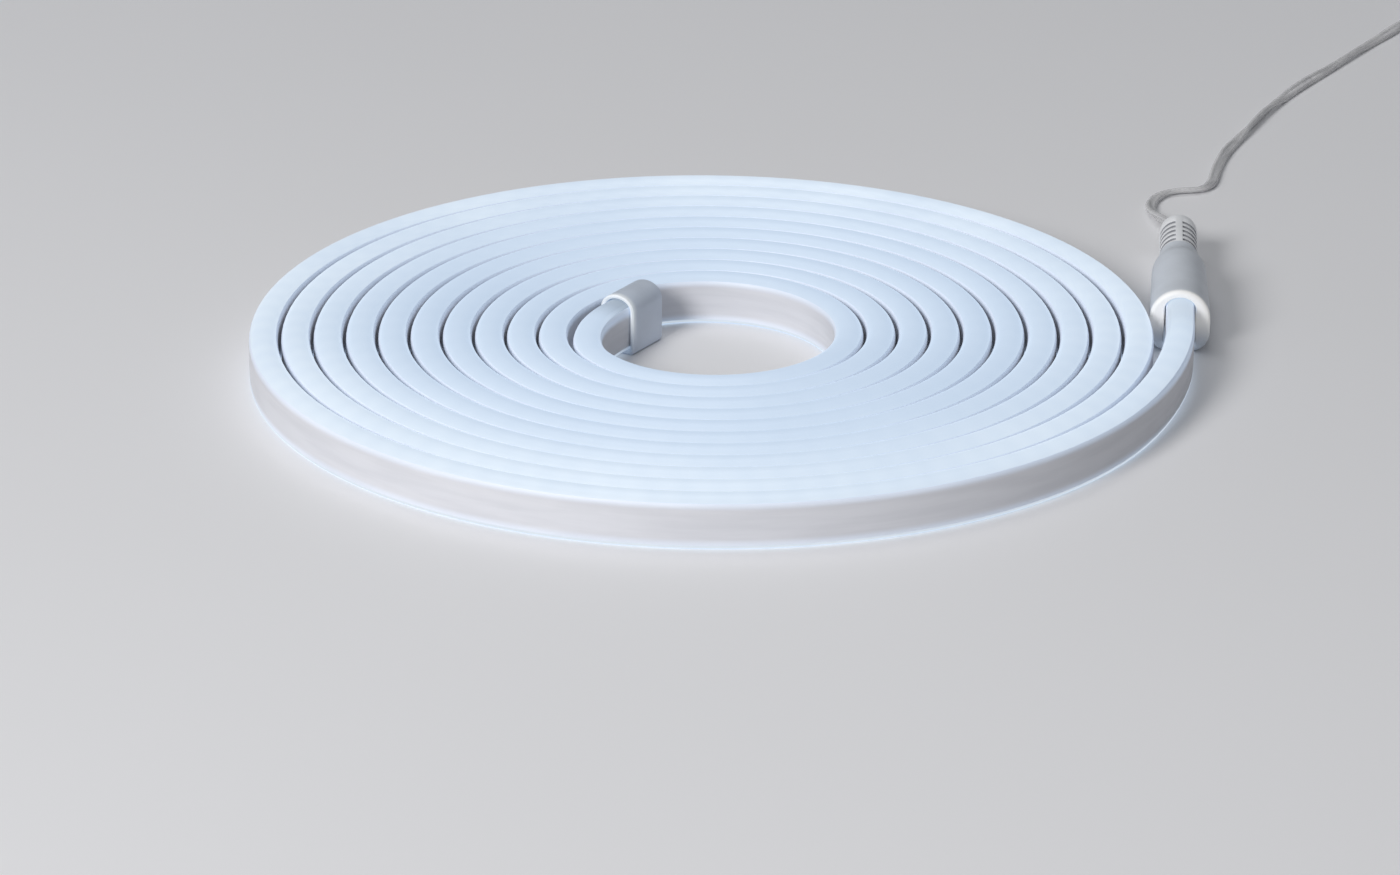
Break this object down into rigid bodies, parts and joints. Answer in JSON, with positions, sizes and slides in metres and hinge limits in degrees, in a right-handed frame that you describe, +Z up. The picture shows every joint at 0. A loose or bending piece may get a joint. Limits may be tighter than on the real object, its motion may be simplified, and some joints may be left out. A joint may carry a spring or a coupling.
{
  "type": "neon flex strip",
  "caption": "Soft lit neon-style flex strip wound flat as a spiral, with an end cap, a moulded power connector with a ribbed strain relief, and a clear twin lead ending in a plug.",
  "frame": {"origin": "on the surface that the strip lies on, under the middle of the box round the wound strip and its fittings, without the free lead", "axes": "+Z up, out of the winding's flat face; the outer end runs into the power housing along +Y, and +X points to that side"},
  "size_m": [0.4065, 0.4745, 0.0167],
  "materials": {
    "lit_silicone": "satin",
    "circuit_film": "matte",
    "cap_silicone": "satin",
    "white_moulding": "satin",
    "block_plastic": "matte",
    "brass": "satin",
    "nickel": "satin",
    "clear_lead": "gloss",
    "tie_plastic": "matte",
    "dark_plastic": "satin"
  },
  "bodies": {
    "root": {"neon_jacket": "lit_silicone", "led_ribbon": "circuit_film", "end_cap": "cap_silicone", "power_housing": "white_moulding", "contact_block": "block_plastic", "contact_pin_upper": "brass", "contact_pin_lower": "brass", "lead_entry": "clear_lead", "strain_relief": "white_moulding", "lead_cord": "clear_lead", "lead_coil": "clear_lead", "coil_tie": "tie_plastic", "plug_body": "dark_plastic", "plug_barrel": "nickel", "plug_insulator": "dark_plastic", "plug_contact": "brass", "plug_boot": "dark_plastic", "lead_tail": "clear_lead"}
  },
  "joints": []
}
